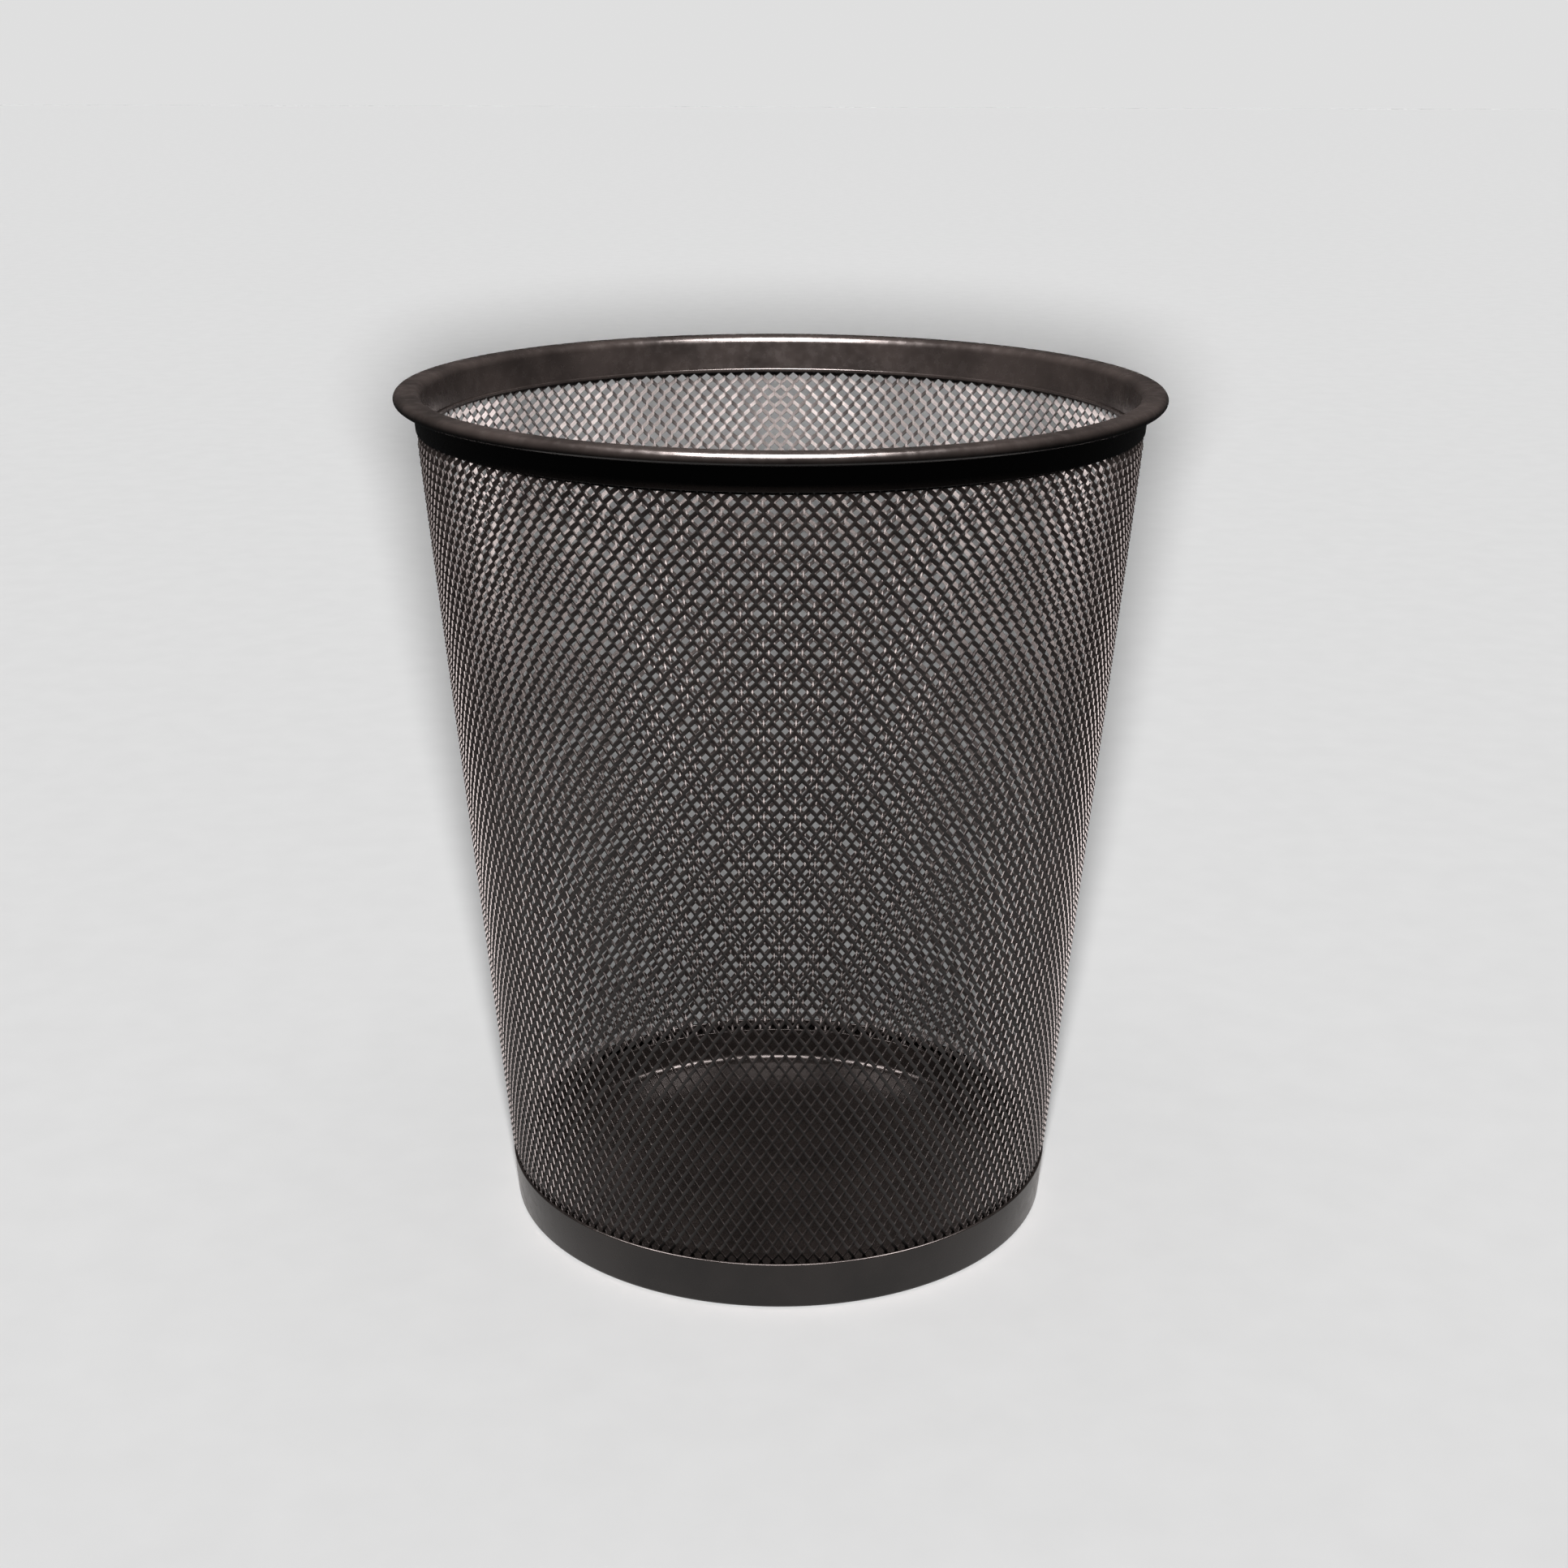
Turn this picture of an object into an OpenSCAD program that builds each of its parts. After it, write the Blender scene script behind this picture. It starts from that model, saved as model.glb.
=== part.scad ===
// Round mesh wastebasket: a tapered wall of expanded steel mesh, a rolled lip around the
// open top, and a solid pressed base. Both ends of the mesh are tucked in and gripped between
// a steel flange on the inside and a steel band on the outside, so that the bands lie flush
// with the mesh. Nothing on it moves.
// Units are millimetres. The origin is the centre of the base on the floor, and +Z is up.

/* [Overall size] */
// Height from the floor to the top of the lip
total_h = 338.5; // [260:0.5:420]
// Diameter over the rolled lip
lip_d = 295; // [280:1:360]
// Diameter of the base band at the floor
base_d = 222.5; // [180:0.5:250]
// How far the lip stands out beyond the band under it
lip_overhang = 6.9; // [6.5:0.1:14]

/* [Mesh wall] */
// Thickness of the expanded mesh, measured over its tilted strands
mesh_t = 2; // [1:0.1:2.4]
// Height above the floor at which the mesh starts, inside the base band
mesh_start_z = 6; // [5.5:0.5:10]
// Height over which the mesh comes out from under a band until it is flush with it
tuck_run = 4; // [3:0.5:12]

/* [Rim] */
// Thickness of the steel sheet in the rim and the base
sheet_t = 0.6; // [0.5:0.1:0.8]
// Height of the rolled nose of the lip
lip_roll_d = 4.6; // [4:0.1:6]
// Radius of the bend between the top of the lip and the inner flange
lip_bend_r = 3.2; // [2.6:0.1:4]
// How far the inner flange comes down below the middle of the lip
inner_flange_drop = 13.5; // [10:0.5:30]
// How far the outer band comes down below the middle of the lip
outer_band_drop = 12; // [8:0.5:30]
// Thickness of the rounded hem along the inner flange's lower edge
flange_hem_d = 1.8; // [1.4:0.1:2.4]

/* [Base] */
// Height of the outer band around the base
base_band_h = 20; // [18:1:40]
// Thickness of the folded hem along the top edge of the base band
band_hem_d = 1.3; // [1.1:0.1:1.8]
// Radius of the rounded edge where the base band turns under
base_corner_r = 1.8; // [1.4:0.1:3]
// Width of the flat foot ring that the base band turns in to under the floor pan
foot_w = 7; // [5:0.5:15]
// Height of the floor pan's flange, inside the mesh
pan_flange_h = 16; // [12:1:17]
// Radius of the bend between the pan's floor and its flange
pan_bend_r = 4; // [3:0.5:5]

/* [Hidden] */
$fn = 96;

steel_black = [0.10, 0.09, 0.085];
mesh_black = [0.17, 0.155, 0.15];

fit_gap = 0.05;                             // paint film between two pressed-together parts
hem_set = 0.05;                             // keeps a hem clear of the sheet's other face
roll_mid_r = (lip_roll_d - sheet_t) / 2;    // nose of the lip, to the middle of the sheet
lip_z = total_h - lip_roll_d / 2;           // middle of the lip, where it is widest
wall_top_r = lip_d / 2 - lip_overhang;      // outer face of the wall, carried up to lip_z
wall_foot_r = base_d / 2;                   // outer face of the wall, carried to the floor
wall_slope = (wall_top_r - wall_foot_r) / lip_z; // gain in radius for each mm of height
rim_tuck = sheet_t + fit_gap;               // how far the mesh is set in under the rim's band
base_tuck = band_hem_d + hem_set + fit_gap; // how far it is set in under the base band
band_end_z = lip_z - outer_band_drop;       // lower edge of the rim's outer band
bend_z = lip_z + roll_mid_r - lip_bend_r;   // centre of the bend into the inner flange
end_gap = 1;                                // stops the mesh short of the bend above it
mesh_end_z = bend_z - end_gap;              // the mesh ends inside the rim

// Rounds to a hundredth of a millimetre, so that neighbouring runs of sheet meet exactly.
function snap(x) = round(x * 100) / 100;

// Radius at height z of a surface that lies offset outside the wall's outer face.
function beside_wall(z, offset) = snap(wall_foot_r + z * wall_slope + offset);

// A profile in the (radius, z) plane, turned once round the axis.
module ring() {
    rotate_extrude() children();
}

// A level run of sheet from radius r0 to radius r1, with its middle at height z.
module level_run(r0, r1, z) {
    translate([r0, z - sheet_t / 2]) square([r1 - r0, sheet_t]);
}

// An upright leg of thickness t whose middle line goes from a to b. Its ends are level.
module leg(a, b, t) {
    side = [t / 2, 0];
    polygon([a - side, a + side, b + side, b - side]);
}

// A quarter bend in the sheet about centre c, its middle line at radius r, starting at a0.
module quarter_bend(c, r, a0) {
    reach = 2 * (r + sheet_t);
    translate(c) intersection() {
        difference() {
            circle(r + sheet_t / 2);
            circle(r - sheet_t / 2);
        }
        rotate(a0) square(reach);
    }
}

// The rounded hem of thickness d along an edge, standing inward from the sheet.
module hem(at, d) {
    translate(at - [(d - sheet_t) / 2 + hem_set, 0]) circle(d / 2);
}

// Rolled lip and inner flange, pressed from one strip. The nose curls back under the lip.
module rim_ring() {
    nose = [lip_d / 2 - lip_roll_d / 2, lip_z];
    flange_offset = -rim_tuck - mesh_t - fit_gap - sheet_t / 2;
    bend_c = [beside_wall(bend_z, flange_offset) + lip_bend_r, bend_z];
    flange_top = [bend_c[0] - lip_bend_r, bend_z];
    flange_end_z = lip_z - inner_flange_drop + flange_hem_d / 2;
    flange_end = [beside_wall(flange_end_z, flange_offset), flange_end_z];
    curl_end_r = beside_wall(lip_z, -sheet_t / 2);
    color(steel_black) union() {
        ring() level_run(bend_c[0], nose[0], lip_z + roll_mid_r);
        ring() quarter_bend(nose, roll_mid_r, 0);
        ring() quarter_bend(nose, roll_mid_r, -90);
        ring() level_run(curl_end_r, nose[0], lip_z - roll_mid_r);
        ring() quarter_bend(bend_c, lip_bend_r, 90);
        ring() leg(flange_top, flange_end, sheet_t);
        ring() hem(flange_end, flange_hem_d);
    }
}

// Band that clamps the top of the mesh from outside, right below the lip.
module rim_outer_band() {
    top_z = lip_z - lip_roll_d / 2 - fit_gap;
    top = [beside_wall(top_z, -sheet_t / 2), top_z];
    end = [beside_wall(band_end_z, -sheet_t / 2), band_end_z];
    color(steel_black) ring() leg(top, end, sheet_t);
}

// Tapered tube of expanded steel mesh. Its envelope is a closed sheet here.
module mesh_wall() {
    stations = [
        [mesh_start_z, base_tuck],
        [base_band_h, base_tuck],
        [base_band_h + tuck_run, 0],
        [band_end_z - tuck_run, 0],
        [band_end_z, rim_tuck],
        [mesh_end_z, rim_tuck],
    ];
    outer = [for (s = stations) [beside_wall(s[0], -s[1]), s[0]]];
    inner = [for (s = stations) [beside_wall(s[0], -s[1] - mesh_t), s[0]]];
    last = len(stations) - 1;
    color(mesh_black) ring() polygon(concat(outer, [for (i = [last:-1:0]) inner[i]]));
}

// Outer band around the base, turned under at the bottom to make a flat foot ring.
module base_band() {
    offset = -sheet_t / 2;
    corner_mid_r = base_corner_r - sheet_t / 2;
    corner = [beside_wall(base_corner_r, offset) - corner_mid_r, base_corner_r];
    leg_end_z = base_band_h - band_hem_d / 2;
    leg_end = [beside_wall(leg_end_z, offset), leg_end_z];
    color(steel_black) union() {
        ring() level_run(corner[0] - foot_w, corner[0], sheet_t / 2);
        ring() quarter_bend(corner, corner_mid_r, -90);
        ring() leg(corner + [corner_mid_r, 0], leg_end, sheet_t);
        ring() hem(leg_end, band_hem_d);
    }
}

// Pressed floor with an upright flange that lines the inside of the mesh.
module floor_pan() {
    offset = -base_tuck - mesh_t - fit_gap - sheet_t / 2;
    pan_z = sheet_t * 1.5 + fit_gap;
    bend_c_z = pan_z + pan_bend_r;
    bend_c = [beside_wall(bend_c_z, offset) - pan_bend_r, bend_c_z];
    flange_end = [beside_wall(pan_flange_h, offset), pan_flange_h];
    color(steel_black) union() {
        ring() level_run(0, bend_c[0], pan_z);
        ring() quarter_bend(bend_c, pan_bend_r, -90);
        ring() leg(bend_c + [pan_bend_r, 0], flange_end, sheet_t);
    }
}

rim_ring();
rim_outer_band();
mesh_wall();
base_band();
floor_pan();
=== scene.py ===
from math import atan, atan2, cos, hypot, pi, radians, sin, sqrt

import bpy
import numpy as np
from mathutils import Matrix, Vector


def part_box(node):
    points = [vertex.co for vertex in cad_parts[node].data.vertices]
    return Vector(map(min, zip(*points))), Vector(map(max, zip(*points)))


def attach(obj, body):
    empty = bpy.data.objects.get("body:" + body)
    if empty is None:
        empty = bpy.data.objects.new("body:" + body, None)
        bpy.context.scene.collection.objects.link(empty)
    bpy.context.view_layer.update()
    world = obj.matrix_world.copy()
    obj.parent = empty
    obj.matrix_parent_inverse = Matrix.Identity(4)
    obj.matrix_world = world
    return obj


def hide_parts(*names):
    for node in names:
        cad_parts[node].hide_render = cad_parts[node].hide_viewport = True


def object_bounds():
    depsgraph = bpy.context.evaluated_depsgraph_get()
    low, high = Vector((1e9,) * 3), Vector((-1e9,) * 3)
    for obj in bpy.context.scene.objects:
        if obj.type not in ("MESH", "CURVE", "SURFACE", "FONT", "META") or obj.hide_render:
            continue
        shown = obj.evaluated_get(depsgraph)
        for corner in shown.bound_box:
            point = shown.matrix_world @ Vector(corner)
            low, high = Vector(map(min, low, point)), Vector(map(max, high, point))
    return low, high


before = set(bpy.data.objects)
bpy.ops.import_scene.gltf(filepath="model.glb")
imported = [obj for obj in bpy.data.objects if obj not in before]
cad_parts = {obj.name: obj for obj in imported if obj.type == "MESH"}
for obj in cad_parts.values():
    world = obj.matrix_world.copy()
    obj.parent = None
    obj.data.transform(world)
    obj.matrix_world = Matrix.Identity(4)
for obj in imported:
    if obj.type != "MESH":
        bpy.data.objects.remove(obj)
cad_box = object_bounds()

MM = 0.001                    # one millimetre. Lengths are in metres unless they say otherwise

# Formed sheet parts
SHEET_T = 0.6 * MM            # steel sheet of the rim and the base
PAINT_GAP = 0.05 * MM         # paint film between two pressed-together parts
FLANGE_HEM_T = 1.8 * MM       # folded lower edge of the rim's inner flange
BAND_HEM_T = 1.3 * MM         # folded upper edge of the base band
HEM_RETURN = 0.6 * MM         # straight part of a folded edge
LIP_ROLL_T = 4.6 * MM         # height of the rolled nose of the lip
LIP_BEND_R = 3.2 * MM         # bend from the lip into the inner flange
CORNER_R = 1.5 * MM           # turn from the base band into the foot ring
FOOT_W = 7 * MM               # flat foot ring under the floor pan
PAN_BEND_R = 4 * MM           # bend from the pan's floor into its flange
RING_STEPS = 384              # steps round every turned part
ARC_STEP = radians(11)        # largest turn between two points of a bend
SMOOTH_BELOW = radians(35)    # edges that turn by less than this are shaded smooth
AXIS_R = 1e-7                 # a point nearer the axis than this lies on it

# Expanded mesh
NODES_ROUND = 156             # bonds in one row round the wall
STRAND_RUN = 4.46 * MM        # distance from one bond to the next along a strand
STRAND_W = 1.75 * MM          # width of a strand, measured up its tilted face
STRAND_T = 0.45 * MM          # thickness of the slit sheet
STRAND_TILT = radians(27)     # how far a strand's upper edge leans outward
BOND_W = 0.9 * MM             # width of a bond round the wall
MESH_END_GAP = 3 * MM         # last bonds to the ends of the mesh, inside the bands

# Each bond has four corners on its outer side and four on its inner side.
OUTER, INNER = range(2)
BOTTOM, LEFT, RIGHT, TOP = range(4)
CORNER_PLACES = ((0, -1), (-1, 0), (1, 0), (0, 1))  # across and up, in the order just named
SIDE_POINTS = len(CORNER_PLACES)
BOND_POINTS = 2 * SIDE_POINTS

# Powder coat. Scales are in features for each metre.
CLOUD_SCALE, CLOUD_DETAIL = 35.0, 3.0       # cloudy tone
CLOUD_RANGE = (0.35, 0.65)                  # noise that gets the dark and the light tone
EDGE_RANGE = (0.55, 0.75)                   # pointiness of a flat face and of a sharp edge
EDGE_WEAR = 0.35                            # share of the worn tone on a sharp edge
GRAIN_SCALE, GRAIN_DETAIL = 260.0, 2.0      # uneven gloss
GRAIN_RANGE = (0.3, 0.7)                    # noise that gets the glossiest and the dullest
GLOSSIER, DULLER = 0.05, 0.06               # how far the roughness varies each way
PEEL_SCALE, PEEL_DETAIL = 900.0, 1.0        # orange peel
PEEL_STRENGTH, PEEL_DEPTH = 0.12, 0.06 * MM
# Dark tone, light tone, worn tone and roughness
SHEET_COAT = ((0.0035, 0.0031, 0.0029), (0.007, 0.0062, 0.0058), (0.03, 0.027, 0.025), 0.25)
MESH_COAT = ((0.005, 0.0044, 0.0042), (0.009, 0.0079, 0.0075), (0.04, 0.036, 0.034), 0.34)

# Studio floor and backdrop
FLOOR_REACH = 12.0                          # from the basket's axis to the floor's edges
FLOOR_TONES = ((0.80, 0.80, 0.80), (0.82, 0.82, 0.82))
FLOOR_SPECK_SCALE = 40.0                    # features for each metre
FLOOR_SPECK_RANGE = (0.3, 0.7)
FLOOR_ROUGHNESS = 0.9
BACKDROP = 0.74                             # grey that the camera sees behind the floor
AMBIENT = 0.02                              # grey that everything else sees there
CARD_R = 0.3                                # reflector card round the base
CARD_DEPTH = 1 * MM                         # how far the card lies below the floor
CARD_STEPS = 64
CARD_TINT = (1, 0.96, 0.94)
CARD_GLOW = 0.6

# Camera
CAMERA_AT = (0, -0.875, 0.4727)
CAMERA_PITCH = radians(18.73)               # downward
CAMERA_ROLL = radians(-0.17)
CAMERA_LENS, CAMERA_SENSOR = 52.04, 36      # millimetres
CAMERA_SHIFT_X = 0.0014                     # share of the frame's width
CAMERA_CLIP = (0.02, 60)

# Lamps for the floor alone: place, radius, strength
FLOOR_LAMPS = {
    "floor_front": (CAMERA_AT, 0.04, 31.0),
    "floor_top": ((0, 0, 2.5), 0.9, 4.0),
}
# Softboxes: azimuth and elevation in degrees, distance, width, height, power in watts
BODY_SOFTBOXES = {
    "softbox_front": (0, 48, 0.85, 0.5, 0.4, 18),
    "softbox_right": (62, 45, 0.8, 0.4, 0.4, 18),
    "softbox_left": (-62, 45, 0.8, 0.4, 0.4, 16),
}
RIM_SOFTBOXES = {
    "rim_softbox_front": (-5, 58, 1.5, 0.8, 0.5, 150),
    "rim_softbox_top": (-3, 80, 1.5, 0.7, 0.4, 130),
}
LAMP_TINT = (1, 0.87, 0.84)                 # slightly warm and pink


# ---------------------------------------------------------------- sizes taken from the frame

def turned_profile(node):
    """Outer profile of a turned CAD node, as (height, radius) pairs from the bottom up."""
    widest = {}
    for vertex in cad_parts[node].data.vertices:
        height = round(vertex.co.z, 5)
        widest[height] = max(widest.get(height, 0.0), hypot(vertex.co.x, vertex.co.y))
    return sorted(widest.items())


def longest_run(profile):
    """The two ends of a profile's tallest stretch."""
    return max(zip(profile, profile[1:]), key=lambda ends: ends[1][0] - ends[0][0])


MESH_PROFILE = turned_profile("mesh_wall")
(WALL_LOW_Z, WALL_LOW_R), (WALL_HIGH_Z, WALL_HIGH_R) = longest_run(MESH_PROFILE)
WALL_SLOPE = (WALL_HIGH_R - WALL_LOW_R) / (WALL_HIGH_Z - WALL_LOW_Z)
WALL_LEAN = atan(WALL_SLOPE)
# Thickness of the mesh over its tilted bonds, each of which is two strands wide
MESH_T = 2 * STRAND_W * sin(STRAND_TILT) + STRAND_T * cos(STRAND_TILT)


def wall_r(z, offset=0.0):
    """Radius at height z of a surface that lies offset outside the wall's outer face."""
    return WALL_LOW_R + (z - WALL_LOW_Z) * WALL_SLOPE + offset


def mesh_r(z):
    """Outer radius of the mesh at height z. Both its ends are tucked in under the bands."""
    return float(np.interp(z, *zip(*MESH_PROFILE)))


def tucked_r(z):
    """Radius, to the middle of the sheet, of a flange that lines the mesh at height z."""
    return mesh_r(z) - MESH_T - PAINT_GAP - SHEET_T / 2


# ---------------------------------------------------------------- outlines in (radius, z)

def arc(centre, radius, start, end):
    """Points along an arc from the start angle to the end angle, in radians."""
    steps = max(2, round(abs(end - start) / ARC_STEP))
    turns = [start + (end - start) * i / steps for i in range(steps + 1)]
    return [(centre[0] + radius * cos(a), centre[1] + radius * sin(a)) for a in turns]


def hem(end, thickness, up):
    """An edge folded inward at the end of a leg, from the leg to its free edge.

    Up is 1 for the top edge of a leg and -1 for its bottom edge.
    """
    radius = (thickness - SHEET_T) / 2
    centre = (end[0] - radius * cos(WALL_LEAN), end[1] + radius * sin(WALL_LEAN))
    turn = arc(centre, radius, -WALL_LEAN, up * pi - WALL_LEAN)
    free_r = turn[-1][0] - up * HEM_RETURN * sin(WALL_LEAN)
    free_z = turn[-1][1] - up * HEM_RETURN * cos(WALL_LEAN)
    return turn + [(free_r, free_z)]


def rounded_end(point, direction):
    """Points round the cut edge of a sheet, from its left side to its right side."""
    heading = atan2(direction.y, direction.x)
    return arc(point, SHEET_T / 2, heading + pi / 2, heading - pi / 2)[1:-1]


def sheet_outline(path, closed_at_axis=False):
    """Closed outline of a sheet whose middle follows path, with rounded ends."""
    points = [Vector(p) for p in path]
    ahead = [(b - a).normalized() for a, b in zip(points, points[1:])]
    into = [ahead[0]] + ahead
    out = ahead + [ahead[-1]]
    left, right = [], []
    for point, a, b in zip(points, into, out):
        middle = (a + b).normalized()
        side = Vector((-middle.y, middle.x)) * (SHEET_T / 2 / middle.dot(a))
        left.append(point + side)
        right.append(point - side)
    head = rounded_end(points[-1], ahead[-1])
    tail = [] if closed_at_axis else rounded_end(points[0], -ahead[0])
    return left + head + right[::-1] + tail


# ---------------------------------------------------------------- pieces

def new_piece(name, points, faces, smooth_below=None):
    """A mesh object made from points and faces."""
    mesh = bpy.data.meshes.new(name)
    mesh.from_pydata(points, [], faces)
    mesh.validate()
    mesh.update()
    piece = bpy.data.objects.new(name, mesh)
    bpy.context.scene.collection.objects.link(piece)
    if smooth_below is not None:
        mesh.shade_smooth()
        mesh.set_sharp_from_angle(angle=smooth_below)
    return piece


def lathe(name, outline):
    """Turns a closed outline round the Z axis. A point on the axis becomes one vertex."""
    points, rows = [], []
    for r, z in outline:
        if r < AXIS_R:
            rows.append([len(points)] * RING_STEPS)
            points.append((0, 0, z))
            continue
        rows.append([len(points) + i for i in range(RING_STEPS)])
        for i in range(RING_STEPS):
            turn = 2 * pi * i / RING_STEPS
            points.append((r * cos(turn), r * sin(turn), z))
    faces = []
    for a, b in zip(rows, rows[1:] + rows[:1]):
        for i in range(RING_STEPS):
            j = (i + 1) % RING_STEPS
            corners = list(dict.fromkeys((a[i], a[j], b[j], b[i])))
            if len(corners) > 2:
                faces.append(corners[::-1])
    return new_piece(name, points, faces, SMOOTH_BELOW)


def finish_piece(piece, node, material):
    """Gives a piece its material and slot, and puts it in a CAD node's place."""
    piece.data.materials.append(material)
    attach(piece, "root")
    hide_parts(node)
    return piece


# ---------------------------------------------------------------- rim and base

def build_rim_ring():
    """Rolled lip and inner flange, from the folded edge inside to the curl under the lip."""
    low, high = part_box("rim_ring")
    nose_mid_r = (LIP_ROLL_T - SHEET_T) / 2
    nose = (high.x - LIP_ROLL_T / 2, high.z - LIP_ROLL_T / 2)
    hem_z = low.z + FLANGE_HEM_T / 2
    bend_z = nose[1] + nose_mid_r - LIP_BEND_R
    inset = tucked_r(bend_z) - wall_r(bend_z)
    path = hem((wall_r(hem_z, inset), hem_z), FLANGE_HEM_T, -1)[::-1]
    path += arc((tucked_r(bend_z) + LIP_BEND_R, bend_z), LIP_BEND_R, pi - WALL_LEAN, pi / 2)
    path += arc(nose, nose_mid_r, pi / 2, -pi / 2)
    path.append((wall_r(nose[1]), nose[1] - nose_mid_r))
    return lathe("rim_ring_formed", sheet_outline(path))


def build_rim_outer_band():
    """Plain band that clamps the top of the mesh from outside."""
    low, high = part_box("rim_outer_band")
    ends = (low.z + SHEET_T / 2, high.z - SHEET_T / 2)
    path = [(wall_r(z, -SHEET_T / 2), z) for z in ends]
    return lathe("rim_outer_band_formed", sheet_outline(path))


def build_base_band():
    """Outer band round the base, from the foot ring up to its folded top edge."""
    low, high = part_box("base_band")
    foot_z = low.z + SHEET_T / 2
    corner_z = foot_z + CORNER_R
    corner_r = wall_r(corner_z, -SHEET_T / 2) - CORNER_R
    hem_z = high.z - BAND_HEM_T / 2
    path = [(corner_r - FOOT_W + SHEET_T / 2, foot_z)]
    path += arc((corner_r, corner_z), CORNER_R, -pi / 2, -WALL_LEAN)
    path += hem((wall_r(hem_z, -SHEET_T / 2), hem_z), BAND_HEM_T, 1)
    return lathe("base_band_formed", sheet_outline(path))


def build_floor_pan():
    """Pressed floor with an upright flange inside the mesh."""
    low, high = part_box("floor_pan")
    pan_z = low.z + SHEET_T / 2
    bend_z = pan_z + PAN_BEND_R
    end_z = high.z - SHEET_T / 2
    path = [(0, pan_z)]
    path += arc((tucked_r(bend_z) - PAN_BEND_R, bend_z), PAN_BEND_R, -pi / 2, -WALL_LEAN)
    path.append((tucked_r(end_z), end_z))
    return lathe("floor_pan_pressed", sheet_outline(path, closed_at_axis=True))


# ---------------------------------------------------------------- expanded mesh

def bond_heights():
    """Heights of the half-rows of bonds. The cells get taller as the wall gets narrower."""
    low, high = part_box("mesh_wall")
    heights = [low.z + MESH_END_GAP]
    while heights[-1] < high.z - MESH_END_GAP - STRAND_RUN:
        half_cell = pi * mesh_r(heights[-1]) / NODES_ROUND
        heights.append(heights[-1] + sqrt(STRAND_RUN ** 2 - half_cell ** 2))
    return heights


def bond_points(row, height):
    """Corner points of one half-row of bonds. Every other half-row is shifted by half a cell."""
    lean = WALL_LEAN + STRAND_TILT
    half_angle = BOND_W / 2 / mesh_r(height)
    points = []
    for i in range(NODES_ROUND):
        turn = 2 * pi * (i + row % 2 / 2) / NODES_ROUND
        for face in (STRAND_T / 2, -STRAND_T / 2):
            for across, up in CORNER_PLACES:
                out = up * STRAND_W * sin(STRAND_TILT) + face * cos(STRAND_TILT)
                z = height + up * STRAND_W * cos(lean) - face * sin(lean)
                r = mesh_r(z) - MESH_T / 2 + out
                a = turn + across * half_angle
                points.append((r * cos(a), r * sin(a), z))
    return points


def corner(row, i, side, which):
    """Index of the point at one corner of bond i in a row."""
    return (row * NODES_ROUND + i % NODES_ROUND) * BOND_POINTS + side * SIDE_POINTS + which


def half_bond_faces(row, i, sign, last_row):
    """Faces of the strand that goes up from one half of a bond, and of any cut end there.

    Sign is 1 for the right half and -1 for the left half, whose faces turn the other way.
    """
    near, far = (RIGHT, LEFT) if sign > 0 else (LEFT, RIGHT)
    next_i = i + row % 2 - (0 if sign > 0 else 1)
    if row == last_row:
        faces = [[corner(row, i, OUTER, near), corner(row, i, INNER, near),
                  corner(row, i, INNER, TOP), corner(row, i, OUTER, TOP)]]
    else:
        outer = [corner(row, i, OUTER, near), corner(row + 1, next_i, OUTER, BOTTOM),
                 corner(row + 1, next_i, OUTER, far), corner(row, i, OUTER, TOP)]
        inner = [index + SIDE_POINTS for index in outer]
        lower_edge = [outer[0], inner[0], inner[1], outer[1]]
        upper_edge = [outer[2], inner[2], inner[3], outer[3]]
        faces = [outer, inner[::-1], lower_edge, upper_edge]
    if row == 0:
        faces.append([corner(row, i, OUTER, near), corner(row, i, OUTER, BOTTOM),
                      corner(row, i, INNER, BOTTOM), corner(row, i, INNER, near)])
    return faces if sign > 0 else [face[::-1] for face in faces]


def build_mesh_wall():
    """Expanded steel mesh: strands that lean like louvres and meet at flat bonds."""
    heights = bond_heights()
    last_row = len(heights) - 1
    points, faces = [], []
    for row, height in enumerate(heights):
        points += bond_points(row, height)
        for i in range(NODES_ROUND):
            faces.append([corner(row, i, OUTER, k) for k in (BOTTOM, RIGHT, TOP, LEFT)])
            faces.append([corner(row, i, INNER, k) for k in (LEFT, TOP, RIGHT, BOTTOM)])
            faces += half_bond_faces(row, i, 1, last_row)
            faces += half_bond_faces(row, i, -1, last_row)
    return new_piece("mesh_wall_expanded", points, faces)


# ---------------------------------------------------------------- materials

def node_material(name):
    """A new node material: returns it, its nodes, a link maker and its Principled shader."""
    material = bpy.data.materials.new(name)
    material.use_nodes = True
    nodes, links = material.node_tree.nodes, material.node_tree.links
    return material, nodes, links.new, nodes["Principled BSDF"]


def noise(nodes, link, coords, scale, detail=2.0):
    """A noise texture in object space. Scale is in features for each metre."""
    made = nodes.new("ShaderNodeTexNoise")
    made.inputs["Scale"].default_value = scale
    made.inputs["Detail"].default_value = detail
    link(coords, made.inputs["Vector"])
    return made.outputs["Fac"]


def remap(nodes, link, value, source, target):
    """Maps a value from the source range to the target range, clamped."""
    made = nodes.new("ShaderNodeMapRange")
    for name, number in zip(("From Min", "From Max", "To Min", "To Max"), source + target):
        made.inputs[name].default_value = number
    link(value, made.inputs["Value"])
    return made.outputs["Result"]


def mix_colours(nodes, link, factor, a, b):
    """Mixes two colours, each an RGB triple or a socket."""
    made = nodes.new("ShaderNodeMix")
    made.data_type = "RGBA"
    link(factor, made.inputs["Factor"])
    for socket, colour in zip((made.inputs[6], made.inputs[7]), (a, b)):
        if isinstance(colour, tuple):
            socket.default_value = (*colour, 1)
        else:
            link(colour, socket)
    return made.outputs[2]


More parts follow.
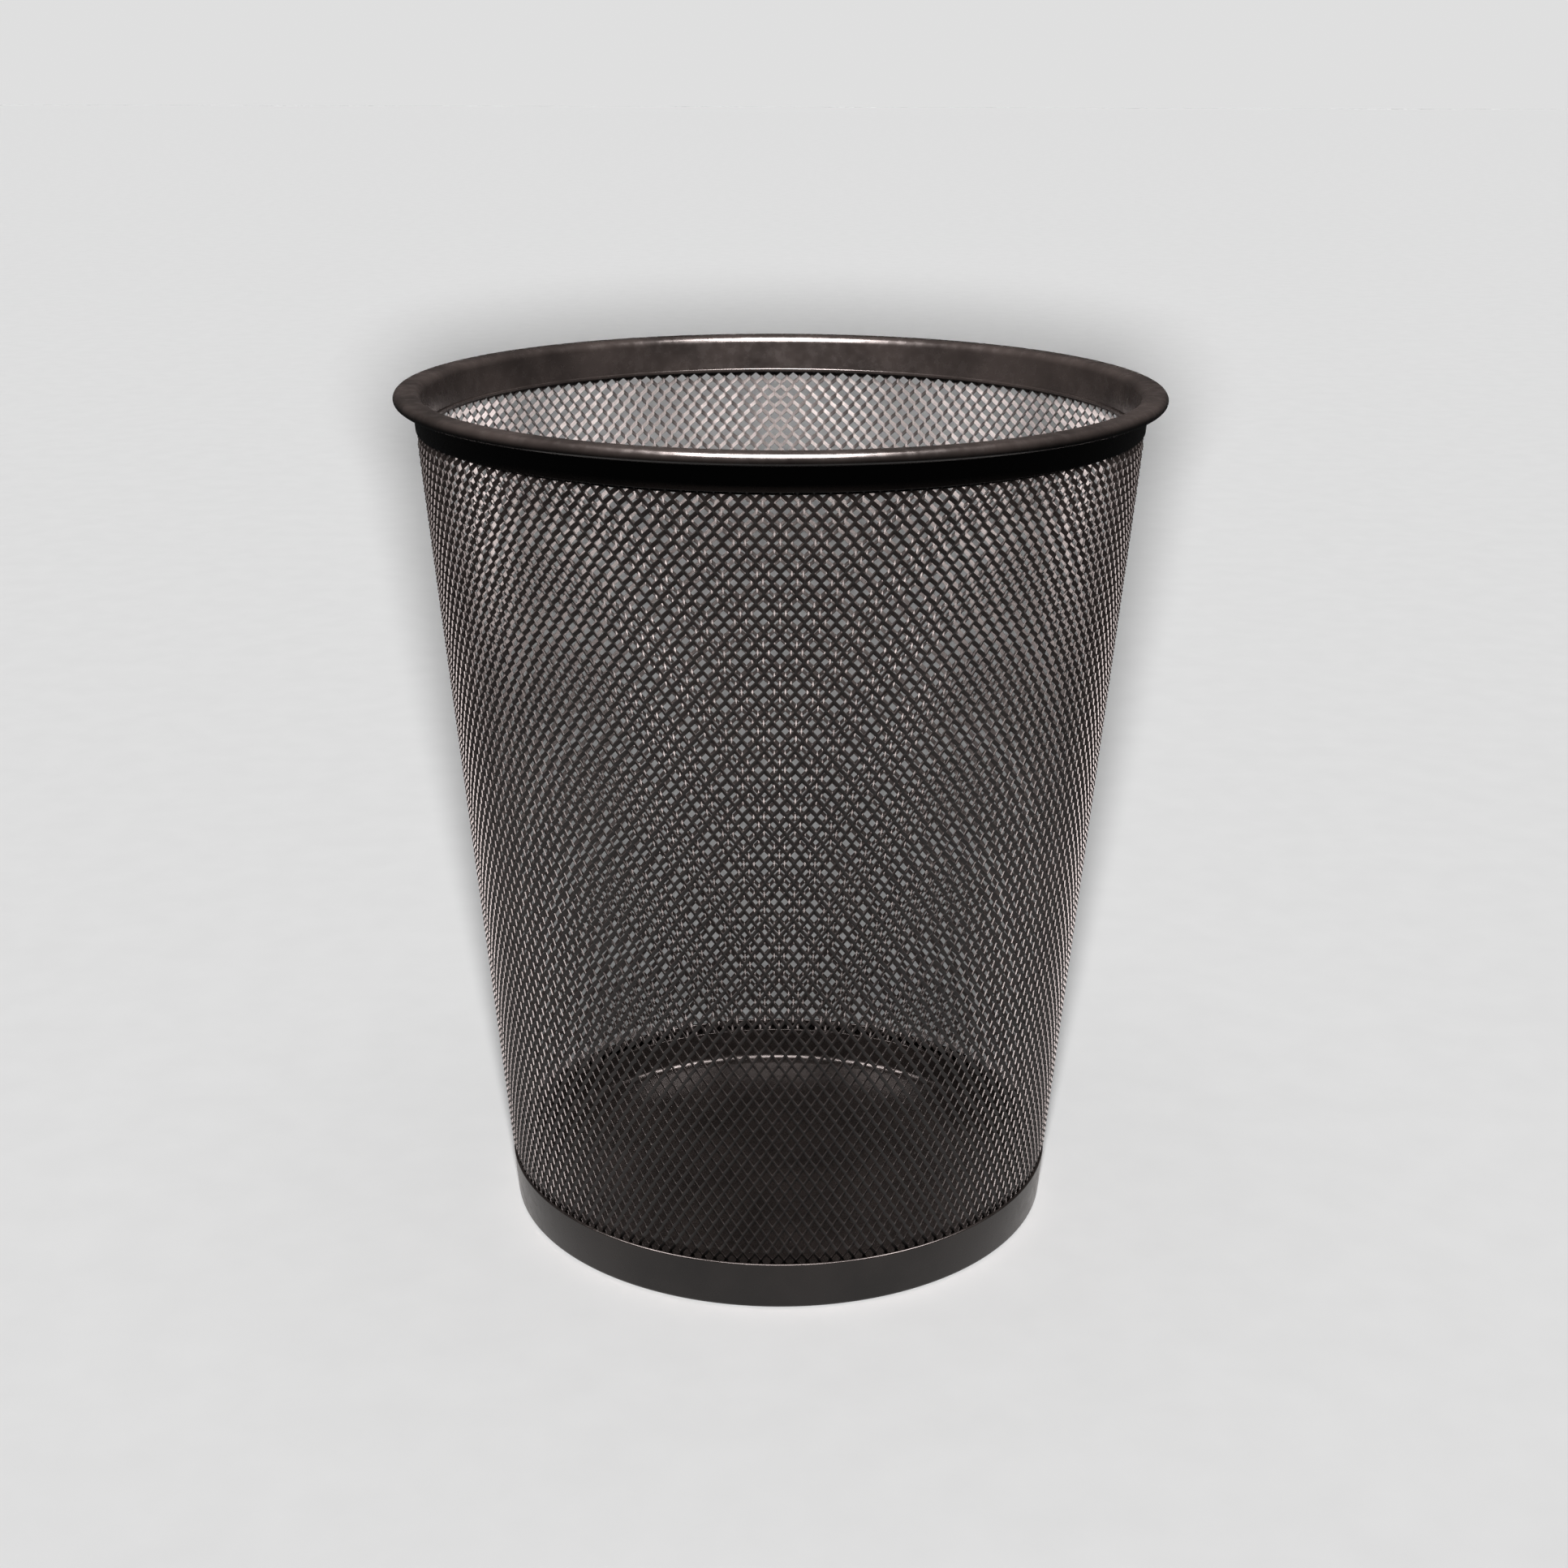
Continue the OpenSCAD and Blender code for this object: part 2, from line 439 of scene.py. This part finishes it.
def powder_coat(name, dark, light, worn, roughness):
    """Black powder coat: orange-peel bump, cloudy tone, thin paint on edges."""
    material, nodes, link, shader = node_material(name)
    coords = nodes.new("ShaderNodeTexCoord").outputs["Object"]
    clouds = noise(nodes, link, coords, CLOUD_SCALE, CLOUD_DETAIL)
    tone = mix_colours(nodes, link, remap(nodes, link, clouds, CLOUD_RANGE, (0, 1)), dark, light)
    pointed = nodes.new("ShaderNodeNewGeometry").outputs["Pointiness"]
    edge = remap(nodes, link, pointed, EDGE_RANGE, (0, EDGE_WEAR))
    link(mix_colours(nodes, link, edge, tone, worn), shader.inputs["Base Color"])
    grain = noise(nodes, link, coords, GRAIN_SCALE, GRAIN_DETAIL)
    gloss = (roughness - GLOSSIER, roughness + DULLER)
    link(remap(nodes, link, grain, GRAIN_RANGE, gloss), shader.inputs["Roughness"])
    bump = nodes.new("ShaderNodeBump")
    bump.inputs["Strength"].default_value = PEEL_STRENGTH
    bump.inputs["Distance"].default_value = PEEL_DEPTH
    link(noise(nodes, link, coords, PEEL_SCALE, PEEL_DETAIL), bump.inputs["Height"])
    link(bump.outputs["Normal"], shader.inputs["Normal"])
    return material


def pale_floor():
    """Matt studio floor with a faint speckle."""
    material, nodes, link, shader = node_material("studio_floor")
    coords = nodes.new("ShaderNodeTexCoord").outputs["Object"]
    specks = noise(nodes, link, coords, FLOOR_SPECK_SCALE)
    speck = remap(nodes, link, specks, FLOOR_SPECK_RANGE, (0, 1))
    link(mix_colours(nodes, link, speck, *FLOOR_TONES), shader.inputs["Base Color"])
    shader.inputs["Roughness"].default_value = FLOOR_ROUGHNESS
    shader.inputs["Specular IOR Level"].default_value = 0
    return material


# ---------------------------------------------------------------- studio

def build_floor():
    """A large plain floor. The basket neither mirrors it nor takes light from it."""
    reach = FLOOR_REACH
    corners = [(-reach, -reach, 0), (reach, -reach, 0), (reach, reach, 0), (-reach, reach, 0)]
    floor = new_piece("studio_floor", corners, [(0, 1, 2, 3)])
    floor.data.materials.append(pale_floor())
    floor.visible_glossy = False
    floor.visible_diffuse = False
    return floor


def light_only(source, receivers):
    """Makes a lamp or a glowing object light nothing but the receivers."""
    group = bpy.data.collections.new(source.name + "_receivers")
    for piece in receivers:
        group.objects.link(piece)
    source.light_linking.receiver_collection = group


def add_softbox(name, receivers, azimuth, elevation, distance, width, height, power):
    """An area lamp aimed at the middle of the basket, which lights only the receivers.

    Azimuth 0 is in front of the basket and 90 is on its right.
    """
    data = bpy.data.lights.new(name, "AREA")
    data.shape = "RECTANGLE"
    data.size, data.size_y = width, height
    data.energy = power
    data.color = LAMP_TINT
    lamp = bpy.data.objects.new(name, data)
    lamp.visible_camera = False
    a, e = radians(azimuth), radians(elevation)
    away = Vector((sin(a) * cos(e), -cos(a) * cos(e), sin(e)))
    aim = Vector((0, 0, (cad_box[0].z + cad_box[1].z) / 2))
    lamp.location = aim + away * distance
    lamp.rotation_euler = away.to_track_quat("Z", "Y").to_euler()
    bpy.context.scene.collection.objects.link(lamp)
    light_only(lamp, receivers)


def add_floor_lamp(name, receivers, place, radius, strength):
    """A round lamp that makes a level floor equally bright everywhere.

    A floor gets less light from a lamp by the square of the distance, and less again by the
    slant, which is the lamp's height over the distance. The constant falloff makes up for the
    square, and the ray's length for the slant.
    """
    data = bpy.data.lights.new(name, "POINT")
    data.shadow_soft_size = radius
    data.energy = 1
    data.use_nodes = True
    nodes, link = data.node_tree.nodes, data.node_tree.links.new
    falloff = nodes.new("ShaderNodeLightFalloff")
    falloff.inputs["Strength"].default_value = strength / place[2]
    reach = nodes.new("ShaderNodeLightPath").outputs["Ray Length"]
    grown = nodes.new("ShaderNodeMath")
    grown.operation = "MULTIPLY"
    link(falloff.outputs["Constant"], grown.inputs[0])
    link(reach, grown.inputs[1])
    link(grown.outputs[0], nodes["Emission"].inputs["Strength"])
    lamp = bpy.data.objects.new(name, data)
    lamp.location = place
    bpy.context.scene.collection.objects.link(lamp)
    light_only(lamp, receivers)


def build_card(receivers):
    """A glowing card round the base. It lights the basket from below, and nothing else."""
    turns = [2 * pi * i / CARD_STEPS for i in range(CARD_STEPS)]
    edge = [(CARD_R * cos(a), CARD_R * sin(a), -CARD_DEPTH) for a in turns]
    card = new_piece("reflector_card", edge, [list(range(CARD_STEPS))])
    material, _, _, shader = node_material("reflector_card")
    shader.inputs["Base Color"].default_value = (0, 0, 0, 1)
    shader.inputs["Specular IOR Level"].default_value = 0
    shader.inputs["Emission Color"].default_value = (*CARD_TINT, 1)
    shader.inputs["Emission Strength"].default_value = CARD_GLOW
    card.data.materials.append(material)
    card.visible_camera = False
    card.visible_shadow = False
    light_only(card, receivers)


def build_world():
    """Pale behind the floor for the camera, dim for everything the basket reflects."""
    world = bpy.data.worlds.new("studio")
    bpy.context.scene.world = world
    world.use_nodes = True
    world.cycles.sampling_method = "NONE"
    nodes, link = world.node_tree.nodes, world.node_tree.links.new
    backdrop, output = nodes["Background"], nodes["World Output"]
    backdrop.inputs["Color"].default_value = (BACKDROP, BACKDROP, BACKDROP, 1)
    dim = nodes.new("ShaderNodeBackground")
    dim.inputs["Color"].default_value = (AMBIENT, AMBIENT, AMBIENT, 1)
    seen = nodes.new("ShaderNodeLightPath").outputs["Is Camera Ray"]
    mix = nodes.new("ShaderNodeMixShader")
    link(seen, mix.inputs[0])
    link(dim.outputs[0], mix.inputs[1])
    link(backdrop.outputs[0], mix.inputs[2])
    link(mix.outputs[0], output.inputs["Surface"])


def build_camera():
    """A product view from above the rim, looking down at the basket."""
    data = bpy.data.cameras.new("camera")
    data.lens, data.sensor_width = CAMERA_LENS, CAMERA_SENSOR
    data.shift_x = CAMERA_SHIFT_X
    data.clip_start, data.clip_end = CAMERA_CLIP
    camera = bpy.data.objects.new("camera", data)
    camera.location = CAMERA_AT
    camera.rotation_euler = (pi / 2 - CAMERA_PITCH, CAMERA_ROLL, 0)
    bpy.context.scene.collection.objects.link(camera)
    bpy.context.scene.camera = camera


# ---------------------------------------------------------------- assembly

coat = powder_coat("powder_coat_black", *SHEET_COAT)
mesh_coat = powder_coat("mesh_powder_coat_black", *MESH_COAT)

rim_ring = finish_piece(build_rim_ring(), "rim_ring", coat)
outer_band = finish_piece(build_rim_outer_band(), "rim_outer_band", coat)
mesh_wall = finish_piece(build_mesh_wall(), "mesh_wall", mesh_coat)
base_band = finish_piece(build_base_band(), "base_band", coat)
floor_pan = finish_piece(build_floor_pan(), "floor_pan", coat)

# The rim has softboxes of its own, which are too bright for the mesh.
rim = [rim_ring, outer_band]
body = [mesh_wall, base_band, floor_pan]
studio_floor = build_floor()
for name, settings in FLOOR_LAMPS.items():
    add_floor_lamp(name, [studio_floor], *settings)
build_card(rim + body)
for name, settings in BODY_SOFTBOXES.items():
    add_softbox(name, body, *settings)
for name, settings in RIM_SOFTBOXES.items():
    add_softbox(name, rim, *settings)
build_world()
build_camera()
bpy.context.scene.view_settings.view_transform = "Standard"
